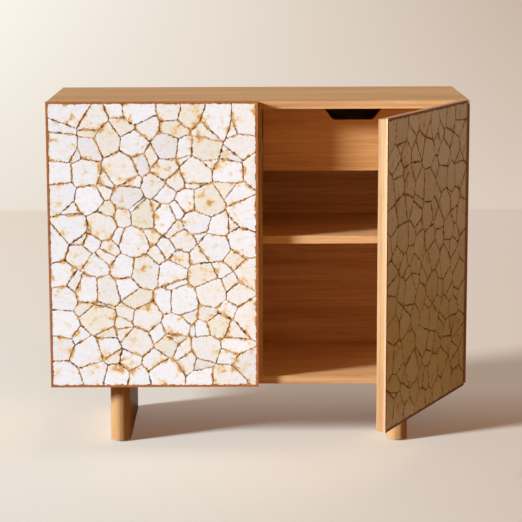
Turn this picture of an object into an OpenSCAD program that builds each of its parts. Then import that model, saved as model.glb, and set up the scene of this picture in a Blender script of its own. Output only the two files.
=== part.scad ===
// Two-door entryway cabinet: an oak case on two blade legs, full-overlay doors
// faced with stone mosaic, and one drawer over one shelf behind each door.
// Millimetres. The origin is on the floor, midway along the front faces of the
// closed doors, which face -Y. The right door stands part open at rest.

/* [Case] */
// Width of the case
case_w = 1016; // [900:1:1200]
// Height of the case above the legs
case_h = 695; // [680:1:760]
// Depth of the case without the doors
case_d = 425; // [422:1:480]
// Thickness of the case panels and shelves
panel_t = 19; // [18:0.5:21]
// Thickness of the back panel
back_t = 6; // [4:0.5:8]
// Distance from the back edges to the back panel
back_inset = 12; // [8:1:14]
// Depth of the groove that holds the back panel
groove_depth = 7; // [5:0.5:9]

/* [Shelves] */
// Height of the shelf top above the case bottom
shelf_top = 364.5; // [340:0.5:375]
// Setback of the shelf behind the case front
shelf_setback = 18; // [10:1:30]
// Diameter of the shelf pins
shelf_pin_d = 5; // [5:0.5:6]
// Length of a shelf pin inside the panel
shelf_pin_in = 8; // [6:0.5:8]
// Length of a shelf pin outside the panel
shelf_pin_out = 8; // [6:0.5:10]
// Thickness of a shelf pin's spoon
spoon_t = 2; // [1.5:0.1:3]
// Width of a shelf pin's spoon
spoon_w = 9; // [7:0.5:12]
// Distance from the shelf's front and back to its pins
shelf_pin_inset = 45; // [35:1:80]

/* [Doors] */
// Thickness of the oak door core
core_t = 18; // [18:0.5:20]
// Thickness of the mosaic facing
face_t = 4.5; // [4:0.1:5]
// Facing beyond the core all round
oversail = 2; // [1:0.5:2.5]
// Gap between the door and the case
door_gap = 2.5; // [2.2:0.1:4]
// Gap between the two doors
door_reveal = 2; // [1.5:0.1:4]
// Opening angle of the left door at rest
left_open = 0; // [0:1:95]
// Opening angle of the right door at rest
right_open = 63.8; // [0:0.1:95]
// Diameter of a door buffer
buffer_d = 8; // [6:0.5:10]
// Distance from the free edge to the buffers
buffer_inset = 40; // [25:1:80]

/* [Mosaic] */
// Width of the metal strip round the facing
strip_w = 5.2; // [4:0.1:8]
// Height of the stones over the grout
stone_relief = 1.3; // [0.8:0.1:2]
// Depth of the stone faces behind the metal strip
stone_setback = 0.2; // [0.1:0.1:0.6]
// Width of the joints between stones
joint_w = 3; // [2:0.1:5]
// Width of the joint between the stones and the metal strip
border_joint = 0.8; // [0.5:0.1:2]
// Stones across one door
stone_cols = 8; // [5:1:10]
// Stones up one door
stone_rows = 11; // [7:1:14]
// Scatter of the stones, as a share of their spacing
stone_scatter = 0.32; // [0.1:0.02:0.36]
// Difference in the stones' sizes, as a share of their area
stone_vary = 0.16; // [0:0.02:0.2]
// Shift of every other row of stones, as a share of their spacing
row_shift = 0.2; // [0:0.02:0.25]
// Width of the small chips, as a share of the stones' spacing
chip_share = 0.36; // [0.2:0.02:0.42]
// Share of the stones' corners that hold a chip
chip_count_share = 0.85; // [0:0.05:1]
// Length that is knapped off a stone's corner along each side
corner_cut = 4; // [2:0.5:6]
// Shortest side of a stone before its corners are knapped off
shortest_side = 2.2; // [1.5:0.1:4]
// Area of the smallest stone
smallest_stone = 90; // [60:10:150]

/* [Hinges] */
// Height of the lowest hinge above the case bottom
hinge_low = 95; // [80:1:130]
// Distance of the middle hinge below the shelf's top
hinge_under_shelf = 94.5; // [70:0.5:140]
// Distance of the top hinge below the case top
hinge_from_top = 95; // [80:1:130]
// Diameter of a hinge cup
cup_d = 35; // [35:0.5:36]
// Depth of a hinge cup in the door
cup_depth = 12; // [11.5:0.1:13]
// Middle of the cup from the door's hinge edge
cup_inset = 22.5; // [22:0.1:23]
// Distance of the cup's pin from the cup's middle, towards the hinge edge
cup_pin_side = 13.52; // [13:0.02:13.6]
// Depth of the cup's pin below the door's back
cup_pin_deep = 3.15; // [3:0.05:3.3]
// Distance of the link's bend from the cup's middle
knee_side = 7.5; // [7:0.1:8]
// Depth of the link's bend below the door's back
knee_deep = 9.5; // [9:0.1:9.6]
// Distance of the arm's pin from the side panel's inner face
arm_pin_side = 14.54; // [14.4:0.02:15]
// Distance of the arm's pin behind the case front
arm_pin_back = 20.69; // [20.5:0.01:21]
// Wall of the cup and of its floor
cup_wall = 0.8; // [0.7:0.1:0.9]
// Thickness of the cup's flange on the door
flange_t = 1.2; // [1:0.1:1.5]
// Height of the cup's flange
flange_h = 62; // [58:1:66]
// Width of the cup's flange
flange_w = 18; // [16:0.5:20]
// Diameter of the hinge pins
hinge_pin_d = 2; // [1.8:0.1:2.2]
// Wall of the link's eye round a pin
eye_wall = 1.05; // [0.9:0.05:1.1]
// Distance from the cup's middle to its screws, away from the hinge edge
cup_screw_side = 9.5; // [9:0.1:10]
// Distance between the two screws of a cup
cup_screw_gap = 45; // [42:0.5:48]
// Rim of the flange round the cup
flange_rim = 1.5; // [1:0.1:2]
// Width of the two cheeks in the cup that hold its pin
cup_cheek_w = 6.5; // [6.3:0.1:6.8]
// Depth of the cheeks below the cup's pin
cup_cheek_past = 2; // [1.8:0.1:2.2]
// Length of the cup's pin inside each cheek
pin_in_cheek = 4.5; // [3:0.1:5]
// Thickness of the link plate
link_t = 2; // [1.6:0.1:2]
// Width of the link plate
link_w = 10; // [8:0.2:10]
// Space on each side between the link and what holds its pins
link_gap = 0.3; // [0.2:0.1:0.5]
// Part of the door's turn that the link makes, the other way
link_share = 0.52; // [0.5:0.01:0.54]
// Steel thickness of the hinge arm
arm_t = 1.5; // [1.2:0.1:1.6]
// Depth of the hinge arm, side to side
arm_depth = 12; // [11:0.5:13]
// Distance from the arm's pin to the arm's web
arm_web_side = 4.5; // [4:0.1:5]
// Distance behind the arm's pin of the web's front end
arm_web_back = 5; // [4:0.5:6]
// Length of the hinge arm behind its pin
arm_len = 48; // [44:1:52]
// Distance behind the case front of the hinge plate's screws
plate_setback = 37; // [36:0.5:40]
// Thickness of the hinge plate on the side panel
plate_t = 3; // [2.5:0.5:4]
// Width of the hinge plate, front to back
plate_w = 16; // [14:1:18]
// Hinge plate above and below its screws
plate_end = 8; // [6:1:10]
// Distance between the two screws of a hinge plate
plate_screw_gap = 32; // [30:1:36]
// Distance of the arm's screw behind the plate's screws
arm_screw_back = 12; // [11:1:15]
// Shank diameter of the arm's screw
arm_screw_d = 4; // [3.5:0.1:4]
// Head diameter of the arm's screw
arm_screw_head_d = 8; // [7:0.1:9]
// Head height of the arm's screw
arm_screw_head_t = 2; // [1.6:0.1:2.4]
// Length of the arm's screw under its head
arm_screw_len = 7.5; // [6:0.5:9]

/* [Legs] */
// Clear height under the case
leg_h = 152; // [120:1:200]
// Thickness of a blade leg, side to side
leg_w = 49; // [40:1:60]
// Distance from the case front to a leg's front end
leg_front_inset = 22; // [10:1:40]
// Distance from the case back to a leg's back end
leg_back_inset = 47; // [20:1:70]
// Distance from the case side to a leg's middle
leg_inset = 164; // [100:1:200]
// Diameter of a glide
glide_d = 22; // [18:1:30]
// Thickness of a glide below the leg
glide_t = 3; // [2:0.5:5]
// Diameter of a glide's stem
glide_stem_d = 8; // [6:0.5:10]
// Length of a glide's stem inside the leg
glide_stem_len = 18; // [12:1:24]
// Distance from a leg's end to its glides and bolts
leg_fixing_inset = 60; // [40:1:90]

/* [Fastenings] */
// Shank diameter of a leg bolt
bolt_d = 8; // [6:0.5:8]
// Head diameter of a leg bolt
bolt_head_d = 13; // [12:0.5:14]
// Head height of a leg bolt
bolt_head_t = 5; // [4:0.5:7]
// Depth of a leg bolt's head below the panel's face
bolt_head_sunk = 0.6; // [0.2:0.1:2]
// Length of a leg bolt inside the leg
bolt_in_leg = 38; // [30:1:50]
// Outside diameter of the threaded sleeve in a leg
sleeve_d = 12; // [11:0.5:12.5]
// Length of the threaded sleeve in a leg
sleeve_len = 25; // [15:1:27]
// Diameter of the partition dowels
dowel_d = 8; // [6:0.5:10]
// Length of a dowel inside the top or bottom panel
dowel_in_panel = 12; // [8:0.5:14]
// Length of a dowel inside the partition
dowel_in_partition = 24; // [15:1:30]
// Distance from the partition's ends to the outer dowels
dowel_inset = 50; // [30:1:90]
// Shank diameter of the small screws
screw_d = 3.5; // [3:0.1:4]
// Head diameter of the small screws
screw_head_d = 6.6; // [6:0.1:7]
// Head height of the small screws
screw_head_t = 1.6; // [1.4:0.1:2]
// Length of a small screw in the wood
screw_len = 12; // [9:0.5:13]
// Length of a screw in a drawer side
short_screw_len = 9; // [7:0.5:9]
// Space at the blind end of a dowel or bolt
end_room = 1; // [0.5:0.5:2]

/* [Drawers] */
// Setback of the drawer front behind the case front
drawer_setback = 78; // [78:1:88]
// Thickness of the drawer front
drawer_front_t = 18; // [15:0.5:19]
// Height of the drawer front
drawer_front_h = 156.5; // [150:0.5:165]
// Gap round the drawer front
drawer_gap = 2.5; // [2:0.1:3]
// Thickness of the packing board beside the hinges
spacer_t = 35; // [32:0.5:40]
// Thickness of the drawer box sides and back
box_t = 12; // [11:0.5:15]
// Height of the drawer box
box_h = 118; // [100:1:120]
// Space between the drawer box and the back panel
box_back_room = 11; // [11:1:30]
// Height of the box above the lower edge of the front
box_rise = 8; // [4:1:10]
// Thickness of the drawer bottom
box_bottom_t = 6; // [4:0.5:8]
// Height of the drawer bottom above the box's lower edge
box_bottom_rise = 10; // [8:1:14]
// Depth of the groove for the drawer bottom
box_groove = 6; // [4:0.5:8]

/* [Finger notch] */
// Width of the notch at the top
notch_top_w = 147; // [130:1:180]
// Width of the notch at the bottom
notch_bottom_w = 98; // [80:1:110]
// Depth of the notch
notch_depth = 32; // [24:1:33]
// Radius of the notch's lower corners
notch_r = 12; // [4:1:13]

/* [Runners] */
// Space between the wall and the drawer side
runner_space = 13; // [12.8:0.1:14]
// Height of the case rail
rail_h = 45; // [44:0.5:48]
// Distance from the box's ends to the ends of the rails and slides
rail_inset = 2; // [1:0.5:4]
// Distance from the rails' ends to their screws
rail_screw_inset = 20; // [12:1:26]
// Height of the rail's middle above the box's lower edge
rail_rise = 45; // [40:1:60]
// Thickness of the rail steel
rail_t = 1.5; // [1.4:0.1:1.6]
// Depth of the lips that close the case rail
rail_lip = 2; // [1.6:0.1:2.4]
// Diameter of the bearing balls
ball_d = 5; // [4.8:0.1:5]
// Running clearance of the balls
ball_play = 0.1; // [0.05:0.05:0.15]
// Balls in one row
ball_count = 4; // [3:1:6]
// Spacing of the balls
ball_pitch = 24; // [16:1:26]
// Thickness of the ball cage
cage_t = 0.6; // [0.5:0.1:0.7]
// Distance from the wall to the middle of the balls
ball_side = 5.4; // [5.3:0.05:5.6]
// Space between the cage and the rail, and between a ball and the slide's edge
cage_gap = 0.4; // [0.3:0.05:0.45]
// Distance from the rails' back ends to the cage's middle
cage_ahead = 106; // [95:1:130]

/* [Hidden] */
case_nodes = ["top_panel", "left_side", "right_side", "bottom_panel",
  "centre_partition", "back_panel", "left_shelf", "right_shelf", "shelf_pins",
  "partition_dowels", "left_leg", "right_leg", "leg_bolts", "leg_sleeves",
  "leg_glides", "drawer_spacers", "runner_rails", "runner_screws",
  "hinge_plates", "hinge_arms", "arm_pins", "plate_screws"];
left_nodes = ["left_door_core", "left_door_strips", "left_mosaic",
  "left_hinge_cups", "left_cup_pins", "left_cup_screws", "left_buffers",
  "left_hinge_links", "left_drawer_front", "left_drawer_sides",
  "left_drawer_back", "left_drawer_bottom", "left_drawer_slides",
  "left_slide_screws", "left_ball_cages", "left_balls"];
right_nodes = ["right_door_core", "right_door_strips", "right_mosaic",
  "right_hinge_cups", "right_cup_pins", "right_cup_screws", "right_buffers",
  "right_hinge_links", "right_drawer_front", "right_drawer_sides",
  "right_drawer_back", "right_drawer_bottom", "right_drawer_slides",
  "right_slide_screws", "right_ball_cages", "right_balls"];

// Clearances: a fitted pin or groove, a running pin, a piece on its seat, and the
// hairline in a mitre of the metal strips
fit = 0.05;
play = 0.05;
seat = 0.3;
mitre_gap = 0.05;
$fn = 48;
past = 1;

// Places of the case
door_t = face_t + core_t;
front_y = 0;
case_y = front_y + door_t + door_gap;
back_y = case_y + case_d;
case_z = leg_h;
top_z = case_z + case_h;
inner_z = case_z + panel_t;
inner_top_z = top_z - panel_t;
back_face_y = back_y - back_inset - back_t;
half_w = case_w / 2;
inner_x = half_w - panel_t;
half_part = panel_t / 2;
inner_d = back_face_y - case_y;

// Places of the shelves and their pins
shelf_z = case_z + shelf_top - panel_t;
shelf_y = case_y + shelf_setback;
shelf_end_y = back_face_y - end_room;
pin_ys = [shelf_y + shelf_pin_inset, shelf_end_y - shelf_pin_inset];
pin_z = shelf_z - seat - shelf_pin_d / 2;
dowel_ys = [case_y + dowel_inset, case_y + inner_d / 2, back_face_y - dowel_inset];

// Places of the doors and hinges, seen in the closed door's frame
face_w = half_w - door_reveal / 2;
face_h = case_h + 2 * oversail;
core_w = face_w - 2 * oversail;
hinge_zs = [hinge_low, shelf_top - hinge_under_shelf, case_h - hinge_from_top];
cup_pin = [cup_inset - cup_pin_side, door_t - cup_pin_deep];
link_knee = [cup_inset - knee_side, door_t - knee_deep];
arm_pin = [panel_t + arm_pin_side, door_t + door_gap + arm_pin_back];
flange_u = cup_inset + cup_screw_side;
cup_inner_r = cup_d / 2 - cup_wall;
eye_d = hinge_pin_d + 2 * play + 2 * eye_wall;
cheek_in = link_w / 2 + link_gap;
cheek_out = cheek_in + arm_t;
arm_web_u = arm_pin[0] + arm_web_side;
arm_end_v = arm_pin[1] + arm_len;
plate_v = door_t + door_gap + plate_setback;

// Places of the drawers
drawer_y = case_y + drawer_setback;
box_y = drawer_y + drawer_front_t;
box_end_y = back_face_y - box_back_room;
box_len = box_end_y - box_y;
spacer_x = inner_x - spacer_t;
drawer_x0 = half_part + drawer_gap;
drawer_x1 = spacer_x - drawer_gap;
drawer_w = drawer_x1 - drawer_x0;
drawer_top_z = inner_top_z - drawer_gap;
drawer_z = drawer_top_z - drawer_front_h;
box_z = drawer_z + box_rise;
box_x0 = half_part + runner_space;
box_x1 = spacer_x - runner_space;
floor_z = box_z + box_bottom_rise;

// Places inside a runner, measured from the wall and from its middle
rail_y = box_y + rail_inset;
rail_len = box_len - 2 * rail_inset;
rail_z = box_z + rail_rise;
ball_z = rail_h / 2 - rail_t - ball_play - ball_d / 2;
slide_half = ball_z - ball_d / 2 - ball_play;
lip_q = runner_space - 2 * rail_t;
slide_q = ball_side - ball_d / 2 + cage_gap;
cage_q = rail_t + cage_gap;
cage_y = rail_y + rail_len - cage_ahead;
cage_len = (ball_count - 1) * ball_pitch + 2 * ball_d;
screw_ys = [rail_y + rail_screw_inset, rail_y + rail_len - rail_screw_inset];

oak = "#dcae7c";
oak_dark = "#b8834f";
copper = "#a8622f";
stone = "#efe6d6";
steel = "#b9bcc0";
black = "#26231f";
birch = "#e2c9a0";

// Placing: bays and legs are drawn on the right, doors on the left
module halves() {
  children();
  mirror([1, 0, 0]) children();
}
module left_half() mirror([1, 0, 0]) children();
module on_left() translate([-half_w, front_y, case_z]) children();
module on_right() mirror([1, 0, 0]) on_left() children();
module turned(p, angle) {
  translate([p[0], p[1], 0]) rotate([0, 0, angle]) translate([-p[0], -p[1], 0]) children();
}
module link_turn(open) turned(arm_pin, link_share * open) children();
module door_turn(open) {
  link_turn(open) turned(cup_pin, -(1 + link_share) * open) children();
}
module at_hinges() {
  for (z = hinge_zs)
    translate([0, 0, z]) children();
}
module rod(d, x, y, z0, z1) {
  translate([x, y, z0]) cylinder(d = d, h = z1 - z0);
}
module screw(d, head_d, head_t, len) {
  translate([0, 0, -len]) cylinder(d = d, h = len + head_t / 2);
  cylinder(d = head_d, h = head_t);
}

// Case: the top, sides and bottom meet in mitred corners
module end_profile(points) {
  translate([0, back_y, 0]) rotate([90, 0, 0]) linear_extrude(case_d) polygon(points);
}
module back_slot() {
  x = inner_x + groove_depth;
  z = inner_z - groove_depth;
  translate([-x, back_face_y - fit, z])
    cube([2 * x, back_t + 2 * fit, case_h - 2 * panel_t + 2 * groove_depth]);
}
module dowels(extra, room) {
  for (y = dowel_ys) {
    rod(dowel_d + 2 * extra, 0, y, inner_z - dowel_in_panel - room,
        inner_z + dowel_in_partition + room);
    rod(dowel_d + 2 * extra, 0, y, inner_top_z - dowel_in_partition - room,
        inner_top_z + dowel_in_panel + room);
  }
}
module top_panel() color(oak) difference() {
  end_profile([[-half_w, top_z], [half_w, top_z],
               [inner_x, inner_top_z], [-inner_x, inner_top_z]]);
  back_slot();
  dowels(fit, end_room);
}
module bottom_panel() color(oak) difference() {
  end_profile([[-half_w, case_z], [half_w, case_z],
               [inner_x, inner_z], [-inner_x, inner_z]]);
  back_slot();
  dowels(fit, end_room);
  bolt_holes();
}
module side_panel() color(oak) difference() {
  end_profile([[half_w, case_z], [half_w, top_z],
               [inner_x, inner_top_z], [inner_x, inner_z]]);
  back_slot();
  shelf_pins_at(inner_x, -1, fit, seat);
  mirror([1, 0, 0]) on_left() at_hinges() plate_screw_holes();
}
module left_side() left_half() side_panel();
module right_side() side_panel();
module centre_partition() color(oak) difference() {
  translate([-half_part, case_y, inner_z])
    cube([panel_t, inner_d - seat, inner_top_z - inner_z]);
  dowels(fit, end_room);
  halves() shelf_pins_at(half_part, 1, fit, seat);
  halves() rail_screws_at(half_part, 1, fit);
}
module back_panel() color(oak_dark) {
  x = inner_x + groove_depth - end_room;
  z = inner_z - groove_depth + seat;
  translate([-x, back_face_y, z])
    cube([2 * x, back_t, inner_top_z + groove_depth - end_room - z]);
}

// Shelves: each rests on four pins with flat spoons
module shelf_pins_at(x, side, extra, room) {
  for (y = pin_ys)
    translate([x - side * (shelf_pin_in + room), y, pin_z]) rotate([0, side * 90, 0])
      cylinder(d = shelf_pin_d + 2 * extra, h = shelf_pin_in + room + shelf_pin_out);
}
module spoons_at(x, side) {
  for (y = pin_ys)
    translate([side > 0 ? x : x - shelf_pin_out, y - spoon_w / 2, shelf_z - spoon_t])
      cube([shelf_pin_out, spoon_w, spoon_t]);
}
module shelf_pins() color(steel) halves() {
  shelf_pins_at(half_part, 1, 0, 0);
  spoons_at(half_part, 1);
  shelf_pins_at(inner_x, -1, 0, 0);
  spoons_at(inner_x, -1);
}
module shelf() color(oak) translate([half_part + seat, shelf_y, shelf_z])
  cube([inner_x - half_part - 2 * seat, shelf_end_y - shelf_y, panel_t]);
module left_shelf() left_half() shelf();
module right_shelf() shelf();
module partition_dowels() color(birch) dowels(0, 0);

// Legs: two blades with round ends, bolted up into threaded sleeves
leg_x = half_w - leg_inset;
leg_y = case_y + leg_front_inset;
leg_end_y = back_y - leg_back_inset;
module at_leg_fixings() {
  for (y = [leg_y + leg_fixing_inset, leg_end_y - leg_fixing_inset])
    translate([leg_x, y, 0]) children();
}
module bolt_holes() halves() at_leg_fixings() {
  translate([0, 0, case_z - past]) cylinder(d = bolt_d + 2 * fit, h = panel_t + 2 * past);
  translate([0, 0, inner_z - bolt_head_sunk - bolt_head_t])
    cylinder(d = bolt_head_d + 2 * seat, h = bolt_head_t + bolt_head_sunk + past);
}
module leg() color(oak) difference() {
  union() {
    a = leg_y + leg_w / 2;
    b = leg_end_y - leg_w / 2;
    translate([leg_x - leg_w / 2, a, glide_t]) cube([leg_w, b - a, case_z - glide_t]);
    for (y = [a, b])
      rod(leg_w, leg_x, y, glide_t, case_z);
  }
  at_leg_fixings() {
    rod(sleeve_d + 2 * fit, 0, 0, case_z - sleeve_len - seat, case_z + past);
    rod(bolt_d + 2 * seat, 0, 0, case_z - bolt_in_leg - end_room, case_z);
    rod(glide_stem_d + 2 * fit, 0, 0, glide_t - past, glide_t + glide_stem_len + end_room);
  }
}
module left_leg() left_half() leg();
module right_leg() leg();
module leg_bolts() color(steel) halves() at_leg_fixings() {
  rod(bolt_d, 0, 0, case_z - bolt_in_leg, inner_z - bolt_head_sunk - bolt_head_t / 2);
  rod(bolt_head_d, 0, 0, inner_z - bolt_head_sunk - bolt_head_t, inner_z - bolt_head_sunk);
}
module leg_sleeves() color(steel) halves() at_leg_fixings() difference() {
  rod(sleeve_d, 0, 0, case_z - sleeve_len, case_z);
  rod(bolt_d + 2 * fit, 0, 0, case_z - sleeve_len - past, case_z + past);
}
module leg_glides() color(black) halves() at_leg_fixings() {
  cylinder(d = glide_d, h = glide_t);
  rod(glide_stem_d, 0, 0, glide_t / 2, glide_t + glide_stem_len);
}

// Door cores: an oak board with cup holes and screw holes in its back
module cup_place() translate([cup_inset, door_t, 0]) rotate([90, 0, 0]) children();
module at_cup_screws() {
  for (s = [-1, 1])
    translate([flange_u, door_t + flange_t, s * cup_screw_gap / 2]) rotate([-90, 0, 0]) children();
}
module door_core() color(oak) difference() {
  translate([oversail, face_t, 0]) cube([core_w, core_t, case_h]);
  at_hinges() {
    cup_place() translate([0, 0, -past])
      cylinder(d = cup_d + 2 * fit, h = cup_depth + seat + past);
    at_cup_screws() translate([0, 0, -flange_t - screw_len - seat])
      cylinder(d = screw_d + 2 * fit, h = flange_t + screw_len + seat);
  }
}
module door_strips() color(copper) {
  translate([0, face_t, -oversail]) rotate([90, 0, 0]) linear_extrude(face_t) {
    strip(face_w);
    translate([face_w, face_h]) rotate(180) strip(face_w);
    translate([face_w, 0]) rotate(90) strip(face_h);
    translate([0, face_h]) rotate(-90) strip(face_h);
  }
}
module strip(len) polygon([[mitre_gap, 0], [len - mitre_gap, 0],
  [len - strip_w - mitre_gap, strip_w], [strip_w + mitre_gap, strip_w]]);

// Mosaic: each stone is the part of the field nearer to its seed than to any
// other seed, less half a joint. Chips weigh less, so they take smaller cells.
// Corners are knapped off, except those that the metal strip cuts.
step_u = (face_w - 2 * strip_w) / stone_cols;
step_z = (face_h - 2 * strip_w) / stone_rows;
chip_far = 0.57 * (step_u + step_z) / 2;
chip_drop = chip_far * (chip_far - chip_share * (step_u + step_z) / 2);
reach = 2.2 * max(step_u, step_z);
function seed_list(seed) = let(
  n = stone_cols * stone_rows,
  r = rands(-1, 1, 6 * n, seed))
  concat(
    [for (i = [0:stone_cols - 1], j = [0:stone_rows - 1])
      let(k = i * stone_rows + j, odd = j % 2 == 0 ? row_shift : -row_shift)
      [strip_w + step_u * (i + 0.5 + odd + stone_scatter * r[k]),
       strip_w + step_z * (j + 0.5 + stone_scatter * r[n + k]),
       stone_vary * step_u * step_z * r[5 * n + k]]],
    [for (i = [0:stone_cols - 2], j = [0:stone_rows - 2])
      let(k = i * stone_rows + j, odd = j % 2 == 0 ? row_shift : -row_shift)
      if (r[2 * n + k] > 1 - 2 * chip_count_share)
      [strip_w + step_u * (i + 1 + odd / 2 + 0.3 * r[3 * n + k]),
       strip_w + step_z * (j + 1 + 0.2 * r[4 * n + k]), -chip_drop]]);
function cut(pts, n, c) = [for (i = [0:len(pts) - 1])
  let(a = pts[i], b = pts[(i + 1) % len(pts)], da = n * a - c, db = n * b - c)
  each concat(da <= 0 ? [a] : [], da * db < 0 ? [a + (b - a) * da / (da - db)] : [])];
function cell(pts, s, near, i = 0) = (i >= len(near) || len(pts) < 3) ? pts :
  let(q = near[i], d = [q[0] - s[0], q[1] - s[1]], m = norm(d), n = d / m,
      t = (m * m + s[2] - q[2]) / (2 * m) - joint_w / 2)
  cell(cut(pts, n, n * [s[0], s[1]] + t), s, near, i + 1);
function area_of(pts) = len(pts) < 3 ? 0 :
  let(m = len(pts), twice = [for (i = [0:m - 1]) cross(pts[i], pts[(i + 1) % m])])
  twice * [for (i = [0:m - 1]) 0.5];
function spaced(pts, least) = len(pts) < 3 ? [] : [for (i = [0:len(pts) - 1])
  if (norm(pts[i] - pts[(i + 1) % len(pts)]) > least) pts[i]];
function at_strip(p) =
  min(p[0], p[1], face_w - p[0], face_h - p[1]) < strip_w + border_joint + fit;
function toward(b, a) = let(side = norm(a - b)) b + (a - b) / side * min(corner_cut, 0.3 * side);
function knapped(pts) = len(pts) < 3 ? [] : [for (i = [0:len(pts) - 1])
  let(a = pts[(i + len(pts) - 1) % len(pts)], b = pts[i], c = pts[(i + 1) % len(pts)])
  each at_strip(b) ? [b] : [toward(b, a), toward(b, c)]];
module stones(seed) {
  seeds = seed_list(seed);
  e = strip_w + border_joint;
  field = [[e, e], [face_w - e, e], [face_w - e, face_h - e], [e, face_h - e]];
  for (s = seeds) {
    near = [for (q = seeds)
      if (abs(q[0] - s[0]) < reach && abs(q[1] - s[1]) < reach && q != s) q];
    whole = cell(field, s, near);
    pts = spaced(knapped(spaced(whole, shortest_side)), seat);
    if (area_of(whole) > smallest_stone && len(pts) > 2) polygon(pts);
  }
}
module mosaic(seed) color(stone) translate([0, 0, -oversail]) {
  bed_v = stone_setback + stone_relief;
  translate([strip_w, bed_v, strip_w])
    cube([face_w - 2 * strip_w, face_t - bed_v, face_h - 2 * strip_w]);
  translate([0, bed_v + fit, 0]) rotate([90, 0, 0])
    linear_extrude(stone_relief + fit) stones(seed);
}
module buffers() color(black) for (z = [panel_t / 2, case_h - panel_t / 2])
  translate([face_w - oversail - buffer_inset, door_t, z]) rotate([-90, 0, 0])
    cylinder(d = buffer_d, h = door_gap - seat);

// Hinges: a cup in the door, a bent link, and an arm on a plate in the case
module hinge_cup() color(steel) difference() {
  union() {
    cup_place() translate([0, 0, -flange_t]) cylinder(d = cup_d, h = cup_depth + flange_t);
    cup_place() translate([0, 0, -flange_t]) cylinder(d = cup_d + 2 * flange_rim, h = flange_t);
    translate([flange_u - flange_w / 2, door_t, -flange_h / 2])
      cube([flange_w, flange_t, flange_h]);
  }
  difference() {
    cup_place() translate([0, 0, -flange_t - past])
      cylinder(r = cup_inner_r, h = cup_depth + flange_t + past - cup_wall);
    for (s = [0, 1]) mirror([0, 0, s])
      translate([cup_inset - cup_d / 2, cup_pin[1] - cup_cheek_past, cheek_in])
        cube([cup_cheek_w, door_t - cup_pin[1] + cup_cheek_past, cup_d / 2]);
  }
  rod(hinge_pin_d + 2 * fit, cup_pin[0], cup_pin[1], -cup_d / 2, cup_d / 2);
  at_cup_screws() translate([0, 0, -flange_t - past])
    cylinder(d = screw_d + 2 * fit, h = flange_t + 2 * past);
}
module hinge_cups() at_hinges() hinge_cup();
module cup_pins() color(steel) at_hinges()
  rod(hinge_pin_d, cup_pin[0], cup_pin[1], -cheek_in - pin_in_cheek, cheek_in + pin_in_cheek);
module cup_screws() color(steel) at_hinges() at_cup_screws()
  screw(screw_d, screw_head_d, screw_head_t, screw_len + flange_t);
function side_of(a, b) = let(d = (b - a) / norm(b - a)) [-d[1], d[0]] * link_t / 2;
module hinge_links() color(steel) at_hinges() difference() {
  n0 = side_of(cup_pin, link_knee);
  n2 = side_of(link_knee, arm_pin);
  n1 = (n0 + n2) / (1 + n0 * n2 / (n0 * n0));
  union() {
    translate([0, 0, -link_w / 2]) linear_extrude(link_w)
      polygon([cup_pin + n0, link_knee + n1, arm_pin + n2,
               arm_pin - n2, link_knee - n1, cup_pin - n0]);
    for (p = [cup_pin, arm_pin])
      rod(eye_d, p[0], p[1], -link_w / 2, link_w / 2);
  }
  for (p = [cup_pin, arm_pin])
    rod(hinge_pin_d + 2 * play, p[0], p[1], -link_w / 2 - past, link_w / 2 + past);
}
module hinge_arm() color(steel) difference() {
  union() {
    for (s = [0, 1]) mirror([0, 0, s]) {
      rod(2 * arm_web_side, arm_pin[0], arm_pin[1], cheek_in, cheek_out);
      translate([arm_web_u - arm_depth, arm_pin[1], cheek_in])
        cube([arm_depth, arm_end_v - arm_pin[1], arm_t]);
    }
    translate([arm_web_u - arm_t, arm_pin[1] + arm_web_back, -cheek_out])
      cube([arm_t, arm_len - arm_web_back, 2 * cheek_out]);
  }
  rod(hinge_pin_d + 2 * fit, arm_pin[0], arm_pin[1], -cheek_out - past, cheek_out + past);
  arm_screw_hole();
}
module at_arm_screw()
  translate([arm_web_u, plate_v + arm_screw_back, 0]) rotate([0, 90, 0]) children();
module arm_screw_hole() at_arm_screw() translate([0, 0, -arm_screw_len - seat])
  cylinder(d = arm_screw_d + 2 * fit, h = arm_screw_len + seat + past);
module hinge_plate() color(steel) difference() {
  front_v = plate_v - plate_w / 2;
  plate_h = plate_screw_gap + 2 * plate_end;
  union() {
    translate([panel_t, front_v, -plate_h / 2]) cube([plate_t, plate_w, plate_h]);
    translate([panel_t, front_v, -cheek_in + seat])
      cube([arm_web_u - arm_t - panel_t - seat, arm_end_v - front_v, 2 * (cheek_in - seat)]);
  }
  plate_screw_holes();
  arm_screw_hole();
}
module at_plate_screws() {
  for (s = [-1, 1])
    translate([panel_t + plate_t, plate_v, s * plate_screw_gap / 2]) rotate([0, 90, 0])
      children();
}
module plate_screw_holes() at_plate_screws() translate([0, 0, -plate_t - screw_len - seat])
  cylinder(d = screw_d + 2 * fit, h = plate_t + screw_len + seat + past);
module hinge_plates() halves() on_left() at_hinges() hinge_plate();
module hinge_arms() halves() on_left() at_hinges() hinge_arm();
module arm_pins() color(steel) halves() on_left() at_hinges()
  rod(hinge_pin_d, arm_pin[0], arm_pin[1], -cheek_out, cheek_out);
module plate_screws() color(steel) halves() on_left() at_hinges() {
  at_plate_screws() screw(screw_d, screw_head_d, screw_head_t, screw_len + plate_t);
  at_arm_screw() screw(arm_screw_d, arm_screw_head_d, arm_screw_head_t, arm_screw_len);
}

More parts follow.
